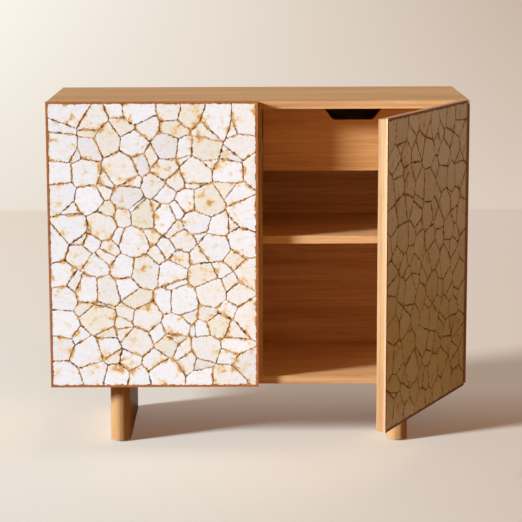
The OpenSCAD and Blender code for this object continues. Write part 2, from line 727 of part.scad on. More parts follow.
// Drawers: a front with a finger notch on a plain box
module drawer_spacers() color(oak) halves() difference() {
  translate([spacer_x, drawer_y, drawer_z])
    cube([spacer_t, back_face_y - seat - drawer_y, inner_top_z - drawer_z]);
  rail_screws_at(spacer_x, -1, fit);
}
module notch() {
  x = (drawer_x0 + drawer_x1) / 2;
  lean = [notch_top_w - notch_bottom_w, 2 * notch_depth];
  n = [lean[1], -lean[0]] / norm(lean);
  cz = notch_r - notch_depth;
  cx = notch_bottom_w / 2 + lean[0] / lean[1] * notch_r - notch_r / n[0];
  tx = cx + n[0] * notch_r;
  tz = cz + n[1] * notch_r;
  translate([x, box_y + past, drawer_top_z]) rotate([90, 0, 0]) {
    linear_extrude(drawer_front_t + 2 * past)
      polygon([[-notch_top_w / 2, 0], [-notch_top_w / 2, past], [notch_top_w / 2, past],
               [notch_top_w / 2, 0], [tx, tz], [cx, -notch_depth],
               [-cx, -notch_depth], [-tx, tz]]);
    for (s = [-1, 1])
      translate([s * cx, cz, 0]) cylinder(r = notch_r, h = drawer_front_t + 2 * past);
  }
}
module box_bottom(extra, room) {
  x = box_x0 + box_t - box_groove - room + end_room;
  y = box_y - box_groove - room + end_room;
  translate([x, y, floor_z - extra])
    cube([box_x1 - box_t + box_groove + room - end_room - x, box_end_y - y + room,
          box_bottom_t + 2 * extra]);
}
module drawer_front() color(oak) difference() {
  translate([drawer_x0, drawer_y, drawer_z]) cube([drawer_w, drawer_front_t, drawer_front_h]);
  notch();
  box_bottom(fit, end_room);
}
module drawer_sides() color(birch) difference() {
  for (x = [box_x0, box_x1 - box_t])
    translate([x, box_y, box_z]) cube([box_t, box_len, box_h]);
  box_bottom(fit, end_room);
  slide_screws_at(box_x0, 1, fit);
  slide_screws_at(box_x1, -1, fit);
}
module drawer_back() color(birch) {
  z = floor_z + box_bottom_t + seat;
  translate([box_x0 + box_t, box_end_y - box_t, z])
    cube([box_x1 - box_x0 - 2 * box_t, box_t, box_z + box_h - z]);
}
module drawer_bottom() color(birch) box_bottom(0, 0);

// Runners: a case rail, a slide on the drawer, and a cage of balls between
module at_walls() {
  translate([half_part, 0, rail_z]) children();
  translate([spacer_x, 0, rail_z]) mirror([1, 0, 0]) children();
}
module strip_bar(q, z, w, h, y, len) translate([q, y, z]) cube([w, len, h]);
module rail_section() {
  strip_bar(0, -rail_h / 2, rail_t, rail_h, rail_y, rail_len);
  for (s = [0, 1]) mirror([0, 0, s]) {
    strip_bar(0, rail_h / 2 - rail_t, lip_q, rail_t, rail_y, rail_len);
    strip_bar(lip_q - rail_t, rail_h / 2 - rail_t - rail_lip, rail_t, rail_lip + rail_t,
              rail_y, rail_len);
  }
}
module slide_section() {
  strip_bar(runner_space - rail_t, -slide_half, rail_t, 2 * slide_half, rail_y, rail_len);
  for (s = [0, 1]) mirror([0, 0, s])
    strip_bar(slide_q, slide_half - rail_t, runner_space - slide_q, rail_t, rail_y, rail_len);
}
module at_balls() {
  for (s = [-1, 1], i = [0:ball_count - 1])
    translate([ball_side, cage_y + (i - (ball_count - 1) / 2) * ball_pitch, s * ball_z])
      children();
}
module cage_section() difference() {
  y = cage_y - cage_len / 2;
  union() {
    strip_bar(cage_q, -ball_z - cage_t / 2, cage_t, 2 * ball_z + cage_t, y, cage_len);
    for (s = [-1, 1])
      strip_bar(cage_q, s * ball_z - cage_t / 2, ball_side + ball_d / 2 + cage_t - cage_q, cage_t,
                y, cage_len);
  }
  at_balls() translate([0, 0, -past]) cylinder(d = ball_d + 2 * ball_play, h = 2 * past);
}
module rail_screws_at(x, side, extra) {
  for (y = screw_ys)
    translate([x + side * rail_t, y, rail_z]) rotate([0, side * 90, 0])
      translate([0, 0, -short_screw_len - rail_t - (extra > 0 ? seat : 0)])
        cylinder(d = screw_d + 2 * extra, h = short_screw_len + rail_t + (extra > 0 ? seat + past : 0));
}
module slide_screws_at(x, side, extra) {
  for (y = screw_ys)
    translate([x, y, rail_z]) rotate([0, side * 90, 0])
      cylinder(d = screw_d + 2 * extra, h = short_screw_len + (extra > 0 ? seat : 0));
}
module runner_rails() color(steel) halves() difference() {
  at_walls() rail_section();
  rail_screws_at(half_part, 1, fit);
  rail_screws_at(spacer_x, -1, fit);
}
module runner_screws() color(steel) halves() at_walls() for (y = screw_ys)
  translate([rail_t, y, 0]) rotate([0, 90, 0])
    screw(screw_d, screw_head_d, screw_head_t, short_screw_len + rail_t);
module slide_screw_holes() {
  for (y = screw_ys)
    translate([0, y, 0]) rotate([0, 90, 0]) cylinder(d = screw_d + 2 * fit, h = runner_space + past);
}
module drawer_slides() color(steel) at_walls() difference() {
  slide_section();
  slide_screw_holes();
}
module slide_screws() color(steel) at_walls() for (y = screw_ys)
  translate([runner_space - rail_t, y, 0]) rotate([0, -90, 0])
    screw(screw_d, screw_head_d, screw_head_t, short_screw_len + rail_t);
module ball_cages() color(black) at_walls() cage_section();
module balls() color(steel) at_walls() at_balls() sphere(d = ball_d);

top_panel();
left_side();
right_side();
bottom_panel();
centre_partition();
back_panel();
left_shelf();
right_shelf();
shelf_pins();
partition_dowels();
left_leg();
right_leg();
leg_bolts();
leg_sleeves();
leg_glides();
drawer_spacers();
runner_rails();
runner_screws();
hinge_plates();
hinge_arms();
arm_pins();
plate_screws();
on_left() door_turn(left_open) door_core();  // left_door_core
on_left() door_turn(left_open) door_strips();  // left_door_strips
on_left() door_turn(left_open) mosaic(11);  // left_mosaic
on_left() door_turn(left_open) hinge_cups();  // left_hinge_cups
on_left() door_turn(left_open) cup_pins();  // left_cup_pins
on_left() door_turn(left_open) cup_screws();  // left_cup_screws
on_left() door_turn(left_open) buffers();  // left_buffers
on_left() link_turn(left_open) hinge_links();  // left_hinge_links
left_half() drawer_front();  // left_drawer_front
left_half() drawer_sides();  // left_drawer_sides
left_half() drawer_back();  // left_drawer_back
left_half() drawer_bottom();  // left_drawer_bottom
left_half() drawer_slides();  // left_drawer_slides
left_half() slide_screws();  // left_slide_screws
left_half() ball_cages();  // left_ball_cages
left_half() balls();  // left_balls
on_right() door_turn(right_open) door_core();  // right_door_core
on_right() door_turn(right_open) door_strips();  // right_door_strips
on_right() door_turn(right_open) mosaic(23);  // right_mosaic
on_right() door_turn(right_open) hinge_cups();  // right_hinge_cups
on_right() door_turn(right_open) cup_pins();  // right_cup_pins
on_right() door_turn(right_open) cup_screws();  // right_cup_screws
on_right() door_turn(right_open) buffers();  // right_buffers
on_right() link_turn(right_open) hinge_links();  // right_hinge_links
drawer_front();  // right_drawer_front
drawer_sides();  // right_drawer_sides
drawer_back();  // right_drawer_back
drawer_bottom();  // right_drawer_bottom
drawer_slides();  // right_drawer_slides
slide_screws();  // right_slide_screws
ball_cages();  // right_ball_cages
balls();  // right_balls
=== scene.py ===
"""Looks of the two-door entryway cabinet: materials, mosaic stones, light and camera.

The CAD pieces keep their meshes and get materials. Each door's mosaic is built anew
from the outlines of its CAD stones. Lengths are in metres.
"""

import math
import random

import bmesh
import bpy
from mathutils import Matrix, Vector, noise


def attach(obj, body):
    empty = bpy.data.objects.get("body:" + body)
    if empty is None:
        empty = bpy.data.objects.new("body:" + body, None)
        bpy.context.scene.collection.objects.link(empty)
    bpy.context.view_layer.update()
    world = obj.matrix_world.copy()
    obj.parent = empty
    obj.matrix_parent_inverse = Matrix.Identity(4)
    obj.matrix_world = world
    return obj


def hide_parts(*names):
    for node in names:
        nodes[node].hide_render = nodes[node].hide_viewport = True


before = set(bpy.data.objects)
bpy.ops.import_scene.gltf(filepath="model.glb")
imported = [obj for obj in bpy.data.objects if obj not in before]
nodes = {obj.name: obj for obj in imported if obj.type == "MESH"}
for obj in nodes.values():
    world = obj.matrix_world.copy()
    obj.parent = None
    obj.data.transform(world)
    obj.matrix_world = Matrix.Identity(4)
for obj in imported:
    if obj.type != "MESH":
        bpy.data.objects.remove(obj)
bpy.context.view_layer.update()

X, Y, Z = 0, 1, 2  # the axes along which a grain runs
BLACK = (0.0, 0.0, 0.0)
WHITE = (1.0, 1.0, 1.0)

# Places in the CAD model. In a door's own frame u runs from the hinge edge along the
# face, v back from the front of the shut door, and w up from the case's bottom.
HALF_W = 0.508  # half the case's width
FRONT_Y = 0.0  # the front of the shut doors
CASE_Z = 0.152  # the case's bottom
CASE_H = 0.695
OVERSAIL = 0.002  # how far a door stands past the case at its top and bottom
FACE_W = 0.507  # the width of a door
STRIP_W = 0.0052  # from a door's edge to its grout
STONE_V = 0.0002  # the stones' flat faces
BED_V = 0.0015  # the grout's front
BED_BACK_V = 0.0045  # the grout's back
RIGHT_OPEN = math.radians(63.8)  # how far the right door stands open at rest
PIN_CLOSED = Vector((0.00898, 0.01935))  # a door's pivot (u, v) with the door shut
PIN_OPEN = Vector((0.027397, 0.010204))  # where the right door's stands at rest
LEFT_FRONT = (0, -1, 0)  # where the left door's face looks at rest
RIGHT_FRONT = (math.sin(RIGHT_OPEN), -math.cos(RIGHT_OPEN), 0)


# Shader helpers
def new_material(name):
    mat = bpy.data.materials.new(name)
    mat.use_nodes = True
    return mat, mat.node_tree, mat.node_tree.nodes["Principled BSDF"]


def set_sockets(node, **values):
    """Sets the node's input sockets. Their names have _ for a space."""
    for key, value in values.items():
        node.inputs[key.replace("_", " ")].default_value = value


def add(tree, kind, operation=None, **values):
    """A new node with its input sockets set."""
    node = tree.nodes.new(kind)
    if operation:
        node.operation = operation
    set_sockets(node, **values)
    return node


def ramp(tree, source, stops):
    """The colour at the value of source, between stops of (value, colour)."""
    node = tree.nodes.new("ShaderNodeValToRGB")
    line = node.color_ramp
    while len(line.elements) < len(stops):
        line.elements.new(0.5)
    for element, (place, colour) in zip(line.elements, stops):
        element.position = place
        element.color = (*colour, 1)
    tree.links.new(source, node.inputs[0])
    return node.outputs[0]


def srgb(r, g, b):
    """The linear colour of three sRGB values from 0 to 255."""
    def lin(c):
        c /= 255
        return c / 12.92 if c <= 0.04045 else ((c + 0.055) / 1.055) ** 2.4

    return (lin(r), lin(g), lin(b))


def noise_out(tree, scale, detail, rough, distort=0.0, stretch=(1, 1, 1),
              offset=(0, 0, 0), turn=(0, 0, 0)):
    """Noise in the object's own space, after a stretch, a shift and a turn."""
    coords = add(tree, "ShaderNodeTexCoord")
    mapping = add(tree, "ShaderNodeMapping", Location=offset, Rotation=turn,
                  Scale=stretch)
    tree.links.new(coords.outputs["Object"], mapping.inputs["Vector"])
    node = add(tree, "ShaderNodeTexNoise", Scale=scale, Detail=detail, Roughness=rough,
               Distortion=distort)
    tree.links.new(mapping.outputs["Vector"], node.inputs["Vector"])
    return node.outputs["Fac"]


def attribute(tree, name, kind):
    """A value that the mesh carries, as the output kind."""
    node = tree.nodes.new("ShaderNodeAttribute")
    node.attribute_name = name
    return node.outputs[kind]


MIX_FACTOR, MIX_A, MIX_B, MIX_RESULT = 0, 6, 7, 2  # the Mix node's sockets for colours


def mixed(tree, fac, a, b, mode="MIX"):
    """Mixes a and b. Each of fac, a and b is an output socket or a value."""
    node = tree.nodes.new("ShaderNodeMix")
    node.data_type = "RGBA"
    node.blend_type = mode
    for socket, value in ((MIX_FACTOR, fac), (MIX_A, a), (MIX_B, b)):
        if isinstance(value, bpy.types.NodeSocket):
            tree.links.new(value, node.inputs[socket])
        elif isinstance(value, tuple):
            node.inputs[socket].default_value = (*value, 1)
        else:
            node.inputs[socket].default_value = value
    return node.outputs[MIX_RESULT]


def times(tree, a, b, share=1.0):
    return mixed(tree, share, a, b, "MULTIPLY")


def plus(tree, a, b, factor):
    """a + b * factor, for single values."""
    node = add(tree, "ShaderNodeMath", "MULTIPLY_ADD")
    tree.links.new(b, node.inputs[0])
    node.inputs[1].default_value = factor
    tree.links.new(a, node.inputs[2])
    return node.outputs[0]


def between(tree, value, low, high):
    """0 at low, 1 at high, and even in between."""
    node = add(tree, "ShaderNodeMapRange", From_Min=low, From_Max=high)
    tree.links.new(value, node.inputs["Value"])
    return node.outputs["Result"]


def coloured(tree, bsdf, colour, **values):
    tree.links.new(colour, bsdf.inputs["Base Color"])
    set_sockets(bsdf, **values)


def bump(tree, bsdf, height, strength, distance):
    node = add(tree, "ShaderNodeBump", Strength=strength, Distance=distance)
    tree.links.new(height, node.inputs["Height"])
    tree.links.new(node.outputs["Normal"], bsdf.inputs["Normal"])


# Wood: noise of three sizes, each drawn out along the grain. Each pair of colours is
# light and dark.
GRAIN = dict(across=14.0, along=1.0, scale=1.6, detail=4.0, rough=0.55, distort=0.6)
LINES = dict(across=160.0, along=3.0, scale=1.0, detail=3.0, rough=0.6, distort=0.1)
PORES = dict(across=520.0, along=16.0, scale=1.0, detail=2.0, rough=0.5)
SEED_STEP = (1.7, 2.3, 0.9)  # how far each seed shifts the noise
DARK_AT, MIDDLE_AT, LIGHT_AT = 0.30, 0.47, 0.66
LINE_TONES = [(0.35, (0.83, 0.78, 0.72)), (0.52, WHITE), (0.70, (1.07, 1.07, 1.05))]
PORE_AT, CLEAR_AT = 0.30, 0.40
PORE_DEPTH = 0.25  # how much darker a full pore is
OAK = (srgb(206, 165, 117), srgb(186, 139, 89))
OAK_BOARDS = (srgb(225, 178, 124), srgb(204, 150, 95))
# Darker, redder oak for the back panel and the recessed drawer fronts: painted shade for
# parts that lie in shade
OAK_INSIDE_PAINTED_SHADE = (srgb(208, 152, 94), srgb(186, 126, 70))
OAK_LEGS = (srgb(194, 150, 98), srgb(174, 124, 72))
BIRCH = (srgb(226, 190, 140), srgb(206, 166, 114))
BIRCH_PORES = 0.3


def grain_noise(tree, grain, seed, across, along, **look):
    stretch = [across] * 3
    stretch[grain] = along
    offset = tuple(seed * step for step in SEED_STEP)
    return noise_out(tree, stretch=tuple(stretch), offset=offset, **look)


def wood(name, grain, light, dark, seed, pores=1.0):
    """Veneer whose grain runs along an axis. pores is how strongly its pores show."""
    mat, tree, bsdf = new_material(name)
    broad = grain_noise(tree, grain, seed, **GRAIN)
    fine = grain_noise(tree, grain, seed, **LINES)
    pore = grain_noise(tree, grain, seed, **PORES)
    middle = tuple(0.5 * (a + b) for a, b in zip(light, dark))
    colour = ramp(tree, broad, [(DARK_AT, dark), (MIDDLE_AT, middle), (LIGHT_AT, light)])
    colour = times(tree, colour, ramp(tree, fine, LINE_TONES))
    pore_tones = [(PORE_AT, (1 - PORE_DEPTH * pores,) * 3), (CLEAR_AT, WHITE)]
    colour = times(tree, colour, ramp(tree, pore, pore_tones))
    coloured(tree, bsdf, colour, Roughness=0.42, Specular_IOR_Level=0.18)
    bump(tree, bsdf, pore, strength=0.12, distance=0.0004)
    return mat


def plain(name, colour, rough, metal=0.0):
    mat, _, bsdf = new_material(name)
    set_sockets(bsdf, Base_Color=(*colour, 1), Roughness=rough, Metallic=metal)
    return mat


# Door faces. The photo's contrast is stronger than a plain render's. To follow it, the
# grout and the strips of the open right door, whose face lies in shade, carry painted
# shade: they are darker, and its stones less stained, than the left's.
STRIP_NOISE = dict(stretch=(60, 60, 60), scale=1.0, detail=3.0, rough=0.6)
STRIP_TONES = [(0.3, srgb(164, 92, 42)), (0.7, srgb(192, 120, 66))]
# A pale painted highlight on the strips' faces that don't look to the front
STRIP_PAINTED_HIGHLIGHT = srgb(214, 166, 120)
FRONT_UNHIGHLIT = [(0.5, BLACK), (0.8, WHITE)]  # by the cosine to the front's direction


def strip_material(name, front, tone_and_painted_shade):
    """Copper brown in front, where it faces the way front, with a pale painted highlight
    elsewhere.
    """
    mat, tree, bsdf = new_material(name)
    tint = ramp(tree, noise_out(tree, **STRIP_NOISE), STRIP_TONES)
    # The given factor darkens the copper: painted shade for a door that lies in shade
    tint = times(tree, tint, (tone_and_painted_shade, tone_and_painted_shade, tone_and_painted_shade))
    coords = add(tree, "ShaderNodeTexCoord")
    facing = add(tree, "ShaderNodeVectorMath", "DOT_PRODUCT")
    tree.links.new(coords.outputs["Normal"], facing.inputs[0])
    facing.inputs[1].default_value = front
    # Away from the front the strip takes the painted highlight
    unhighlit = ramp(tree, facing.outputs["Value"], FRONT_UNHIGHLIT)
    tint = mixed(tree, unhighlit, STRIP_PAINTED_HIGHLIGHT, tint)
    coloured(tree, bsdf, tint, Metallic=0.3, Roughness=0.5)
    return mat


# The stones' layers of noise. Each has an offset of its own, so that no two lie in step.
CLOUDS = dict(scale=44.0, detail=4.0, rough=0.62, distort=0.25)
AREAS = dict(scale=17.0, detail=1.0, rough=0.5, offset=(8, 3, 5))
RIM_AREAS = dict(scale=45.0, detail=3.0, rough=0.5, offset=(1, 5, 9))
STREAKS = dict(scale=1.0, detail=5.0, rough=0.65, distort=1.2, stretch=(30, 30, 150),
               offset=(3, 1, 2), turn=(0.3, 0.5, 0.2))
SPOTS = dict(scale=120.0, detail=4.0, rough=0.6, distort=0.4, offset=(4, 8, 2))
DOTS = dict(scale=90.0, detail=4.0, rough=0.7, distort=0.6, offset=(7, 2, 4))
RELIEF = dict(scale=160.0, detail=4.0, rough=0.6, offset=(5, 4, 3))
AREA_SHARE = 0.5
RIM_SHARE = 0.22
VEIN_SHARE = 0.9
STAINED_RIMS = [(0.44, BLACK), (0.58, WHITE)]
AMBER = [(0.78, WHITE), (0.85, (1.0, 0.93, 0.79)), (0.91, (0.96, 0.74, 0.42)),
         (0.97, (0.72, 0.40, 0.14))]
VEINS = [(0.56, WHITE), (0.70, (0.94, 0.84, 0.68))]
MOTTLES = [(0.36, (0.95, 0.92, 0.87)), (0.50, WHITE)]
INCLUSIONS = [(0.69, WHITE), (0.72, (0.55, 0.34, 0.14)), (0.78, (0.22, 0.11, 0.04))]


def stone_material(name, stain):
    """Pale quartz with amber clouds, mostly near the rims, and a few dark inclusions."""
    mat, tree, bsdf = new_material(name)
    clouds = plus(tree, noise_out(tree, **CLOUDS), noise_out(tree, **AREAS), AREA_SHARE)
    some = ramp(tree, noise_out(tree, **RIM_AREAS), STAINED_RIMS)
    rims = times(tree, attribute(tree, "rim", "Fac"), some)
    amber = ramp(tree, plus(tree, clouds, rims, RIM_SHARE), AMBER)
    colour = times(tree, attribute(tree, "tint", "Color"), amber, stain)
    veins = ramp(tree, noise_out(tree, **STREAKS), VEINS)
    colour = times(tree, colour, veins, VEIN_SHARE)
    colour = times(tree, colour, ramp(tree, noise_out(tree, **SPOTS), MOTTLES))
    colour = times(tree, colour, ramp(tree, noise_out(tree, **DOTS), INCLUSIONS))
    coloured(tree, bsdf, colour, Roughness=0.35)
    bump(tree, bsdf, noise_out(tree, **RELIEF), strength=0.12, distance=0.0005)
    return mat


SAND = dict(scale=300.0, detail=2.0, rough=0.5, offset=(2, 2, 2))
PATCHES = dict(scale=40.0, detail=2.0, rough=0.5, offset=(6, 1, 3))
PATCH_SHARE = 0.35
GROUT_TONES = [(0.41, srgb(46, 20, 6)), (0.455, srgb(126, 74, 32)),
               (0.49, srgb(200, 142, 80)), (0.56, srgb(240, 204, 148))]


def grout_material(name, tone_and_painted_shade):
    """Brown grout, dark in places and golden in others, with flecks of uneven size."""
    mat, tree, bsdf = new_material(name)
    sand = noise_out(tree, **SAND)
    both = mixed(tree, PATCH_SHARE, sand, noise_out(tree, **PATCHES))
    # The factor darkens the grout: its own tone on the left door, and on the right door
    # painted shade as well
    colour = times(tree, ramp(tree, both, GROUT_TONES), (tone_and_painted_shade, tone_and_painted_shade, tone_and_painted_shade))
    coloured(tree, bsdf, colour, Roughness=0.8)
    bump(tree, bsdf, sand, strength=0.5, distance=0.0006)
    return mat


# The right door's copies carry painted shade: darker strips and grout, and stones less
# stained
COPPER = {"left": strip_material("copper_left", LEFT_FRONT, tone_and_painted_shade=1.0),
          "right": strip_material("copper_right", RIGHT_FRONT, tone_and_painted_shade=0.6)}
STONES = {"left": stone_material("stones_left", stain=0.95),
          "right": stone_material("stones_right", stain=0.7)}
GROUT = {"left": grout_material("grout_left", tone_and_painted_shade=0.86),
         "right": grout_material("grout_right", tone_and_painted_shade=0.58)}


# From the model's frame to a door's own frame and back
def left_to_door(p):
    return Vector((p.x + HALF_W, p.y - FRONT_Y, p.z - CASE_Z))


def left_from_door(u, v, w):
    return Vector((u - HALF_W, v + FRONT_Y, w + CASE_Z))


def turn2(p, angle):
    c, s = math.cos(angle), math.sin(angle)
    return Vector((p.x * c - p.y * s, p.x * s + p.y * c))


def right_to_door(p):
    here = Vector((HALF_W - p.x, p.y - FRONT_Y))
    closed = turn2(here - PIN_OPEN, RIGHT_OPEN) + PIN_CLOSED
    return Vector((closed.x, closed.y, p.z - CASE_Z))


def right_from_door(u, v, w):
    here = turn2(Vector((u, v)) - PIN_CLOSED, -RIGHT_OPEN) + PIN_OPEN
    return Vector((HALF_W - here.x, here.y + FRONT_Y, w + CASE_Z))


# The outlines of the CAD stones
WELD = 2e-5  # vertices this near to one another are one
FLAT = 5e-5  # how near to STONE_V the vertices of a flat face lie


def groups(faces):
    """The faces in groups that hang together by their edges."""
    left = set(faces)
    while left:
        group, stack = set(), [next(iter(left))]
        while stack:
            f = stack.pop()
            if f in left:
                left.discard(f)
                group.add(f)
                for e in f.edges:
                    stack.extend(g for g in e.link_faces if g in left)
        yield group


def rim_of(group):
    """The group's rim as a closed list of (u, w), from its first vertex on."""
    after = {}
    for f in group:
        for loop in f.loops:
            if sum(g in group for g in loop.edge.link_faces) == 1:
                after[loop.vert] = loop.link_loop_next.vert
    ring = []
    start = here = min(after, key=lambda v: v.index)
    for _ in after:
        ring.append((here.co.x, here.co.z))
        here = after[here]
        if here == start:
            break
    return ring


def stone_outlines(obj, to_door):
    """The outlines of the stones' flat faces, each as a closed list of (u, w)."""
    bm = bmesh.new()
    bm.from_mesh(obj.data)
    for v in bm.verts:
        v.co = to_door(v.co)
    bmesh.ops.remove_doubles(bm, verts=bm.verts, dist=WELD)
    flat = [f for f in bm.faces if all(abs(v.co.y - STONE_V) < FLAT for v in f.verts)]
    outlines = sorted(rim_of(group) for group in groups(flat))
    bm.free()
    return outlines


# The outlines drawn anew, with points again and with waves along their sides. Each wave
# has its bumps in a metre, its height, and what it adds to the seed.
CORNER_CUT = 0.004  # how far from its point the CAD knaps a sharp corner
CUT_MISS = 0.0001  # how far off that a side may be and still count as a cut
CUT_LEAST = 0.0002  # how far its nearer end has to be from the point
CORNER_BACK = 0.75  # how much of the cut is drawn out again
PARALLEL = 0.05  # the sine of the angle under which two sides have no corner
WAVE_STEP = 0.0018  # about how far apart the points along a side lie
WAVES = ((48, 0.0020, 0), (150, 0.0022, 2), (330, 0.0020, 3), (900, 0.0008, 5))
WAVE_IN, WAVE_OUT = 0.0024, 0.0013  # how far the waves reach at most


def area(ring):
    return 0.5 * sum(a[0] * b[1] - b[0] * a[1] for a, b in zip(ring, ring[1:] + ring[:1]))


def cross(a, b):
    return a.x * b.y - a.y * b.x


def sharpened(ring):
    """The outline with its knapped corners drawn out again, most of the way.

    A side is such a corner where the sides before and after it, drawn on, meet
    CORNER_CUT away from the farther of its ends.
    """
    points = [Vector(p) for p in ring]
    n = len(points)
    out = list(points)
    for i in range(n):
        a, b, c, d = points[i - 1], points[i], points[(i + 1) % n], points[(i + 2) % n]
        one, two = (b - a).normalized(), (c - d).normalized()
        turn = cross(one, two)
        if abs(turn) < PARALLEL:
            continue
        gap = c - b
        ahead, behind = cross(gap, two) / turn, cross(gap, one) / turn
        far, near = max(ahead, behind), min(ahead, behind)
        if near > CUT_LEAST and abs(far - CORNER_CUT) < CUT_MISS:
            out[i] = b + one * ahead * CORNER_BACK
            out[(i + 1) % n] = c + two * behind * CORNER_BACK
    return out


def rough_ring(ring, seed):
    """The outline with slightly softened corners and small irregular waves."""
    if area(ring) < 0:
        ring = ring[::-1]
    ring = sharpened(ring)
    fine = []
    for a, b in zip(ring, ring[1:] + ring[:1]):
        parts = max(1, round((b - a).length / WAVE_STEP))
        fine += [a.lerp(b, i / parts) for i in range(parts)]
    n = len(fine)
    # Softened: each point moves a little towards its neighbours
    fine = [(fine[i - 1] + 4 * fine[i] + fine[(i + 1) % n]) / 6 for i in range(n)]
    out = []
    for i, p in enumerate(fine):
        side = fine[(i + 1) % n] - fine[i - 1]
        side = Vector((side.y, -side.x)).normalized()
        wave = 0.0
        for bumps, high, step in WAVES:
            wave += noise.noise(Vector((p.x * bumps, p.y * bumps, seed + step))) * high
        out.append(p + side * max(-WAVE_IN, min(wave, WAVE_OUT)))
    return out


INSET_MOST = 0.6  # of the way to the centre


def inset(ring, d, centre):
    out = []
    for p in ring:
        away = centre - p
        out.append(p + away.normalized() * min(d, away.length * INSET_MOST))
    return out


# The stones. Each level of a stone, from its foot in the grout to its flat face, has how
# far it lies in from the outline, how far behind the face (None is the foot), and how
# much of a rim it is. Each tint has its share of the stones.
FOOT_V = BED_V + 0.0002  # a little below the grout's front, so that no gap shows
LEVELS = ((0.0, None, 1.0), (0.00005, 0.0004, 1.0), (0.0003, 0.0001, 1.0),
          (0.0008, 0.0, 0.9), (0.0035, 0.0, 0.45), (0.008, 0.0, 0.0))
SINK_MOST = 0.0003  # how far a stone may lie deeper than its neighbours
TILT_MOST = 0.006  # the most that a face slopes along u, and along w
TINTS = (((0.95, 0.95, 0.94), 0.48), ((0.93, 0.90, 0.84), 0.28),
         ((0.91, 0.86, 0.73), 0.16), ((0.88, 0.85, 0.82), 0.08))
TINT_DARKEST = 0.95
GROUT_TINT = (0.5, 0.4, 0.3, 1)
STONE_SLOT, GROUT_SLOT = 0, 1  # the places of the mosaic's two materials


def pick_tint(rng):
    r = rng.random()
    for colour, share in TINTS:
        if r < share:
            break
        r -= share
    k = rng.uniform(TINT_DARKEST, 1.0)
    return (colour[0] * k, colour[1] * k, colour[2] * k, 1)


class Pieces:
    """Vertices and faces of a door's mosaic, with their rims, slots and tints."""

    def __init__(self, from_door):
        self.from_door = from_door
        self.verts, self.rims = [], []
        self.faces, self.slots, self.tints = [], [], []

    def vert(self, p, v, rim=0.0):
        self.verts.append(tuple(self.from_door(p[0], v, p[1])))
        self.rims.append(rim)
        return len(self.verts) - 1

    def face(self, corners, slot, tint):
        self.faces.append(tuple(corners))
        self.slots.append(slot)
        self.tints.append(tint)

    def mesh(self, name):
        mesh = bpy.data.meshes.new(name)
        mesh.from_pydata(self.verts, [], self.faces)
        mesh.polygons.foreach_set("material_index", self.slots)
        attr = mesh.attributes.new("tint", "FLOAT_COLOR", "FACE")
        attr.data.foreach_set("color", [c for tint in self.tints for c in tint])
        attr = mesh.attributes.new("rim", "FLOAT", "POINT")
        attr.data.foreach_set("value", self.rims)
        bm = bmesh.new()
        bm.from_mesh(mesh)
        bmesh.ops.recalc_face_normals(bm, faces=bm.faces)
        bm.to_mesh(mesh)
        bm.free()
        return mesh


def add_stone(pieces, ring, tint, tilt, low):
    centre = sum(ring, Vector((0, 0))) / len(ring)

    def depth(p, behind):
        if behind is None:
            return FOOT_V
        lean = tilt[0] * (p.x - centre.x) + tilt[1] * (p.y - centre.y)
        return max(STONE_V, low + behind + lean * TILT_MOST)

    rows = [[pieces.vert(p, depth(p, behind), rim) for p in inset(ring, d, centre)]
            for d, behind, rim in LEVELS]
    n = len(ring)
    # The wall that rises from the foot wears grout
    for level, (a, b) in enumerate(zip(rows, rows[1:])):
        for i in range(n):
            j = (i + 1) % n
            slot = GROUT_SLOT if level == 0 else STONE_SLOT
            pieces.face((a[i], a[j], b[j], b[i]), slot, tint)
    top = rows[-1]
    middle = pieces.vert(centre, depth(centre, 0.0))
    for i in range(n):
        pieces.face((top[i], top[(i + 1) % n], middle), STONE_SLOT, tint)


def add_bed(pieces):
    """The slab of grout that the stones stand in."""
    left, right = STRIP_W, FACE_W - STRIP_W
    low, high = STRIP_W - OVERSAIL, CASE_H + OVERSAIL - STRIP_W
    corners = [(left, low), (right, low), (right, high), (left, high)]
    front = [pieces.vert(c, BED_V) for c in corners]
    rear = [pieces.vert(c, BED_BACK_V) for c in corners]
    pieces.face(front, GROUT_SLOT, GROUT_TINT)
    pieces.face(rear[::-1], GROUT_SLOT, GROUT_TINT)
    for i in range(4):
        j = (i + 1) % 4
        pieces.face((front[i], rear[i], rear[j], front[j]), GROUT_SLOT, GROUT_TINT)


def put(name, data):
    obj = bpy.data.objects.new(name, data)
    bpy.context.scene.collection.objects.link(obj)
    return obj


def build_mosaic(side, to_door, from_door, seed):
    rng = random.Random(seed)
    node = side + "_mosaic"
    pieces = Pieces(from_door)
    for k, ring in enumerate(stone_outlines(nodes[node], to_door)):
        tint = pick_tint(rng)
        tilt = (rng.uniform(-1, 1), rng.uniform(-1, 1))
        low = STONE_V + rng.uniform(0.0, SINK_MOST)
        add_stone(pieces, rough_ring(ring, seed + k), tint, tilt, low)
    add_bed(pieces)
    mesh = pieces.mesh(side + "_mosaic_pieces")
    mesh.materials.append(STONES[side])
    mesh.materials.append(GROUT[side])
    obj = put(side + "_mosaic_pieces", mesh)
    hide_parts(node)
    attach(obj, side + "_door")


build_mosaic("left", left_to_door, left_from_door, seed=11)
build_mosaic("right", right_to_door, right_from_door, seed=23)


# Materials of the CAD pieces
def dress(names, material):
    for name in names:
        data = nodes[name].data
        data.materials.clear()
        data.materials.append(material)


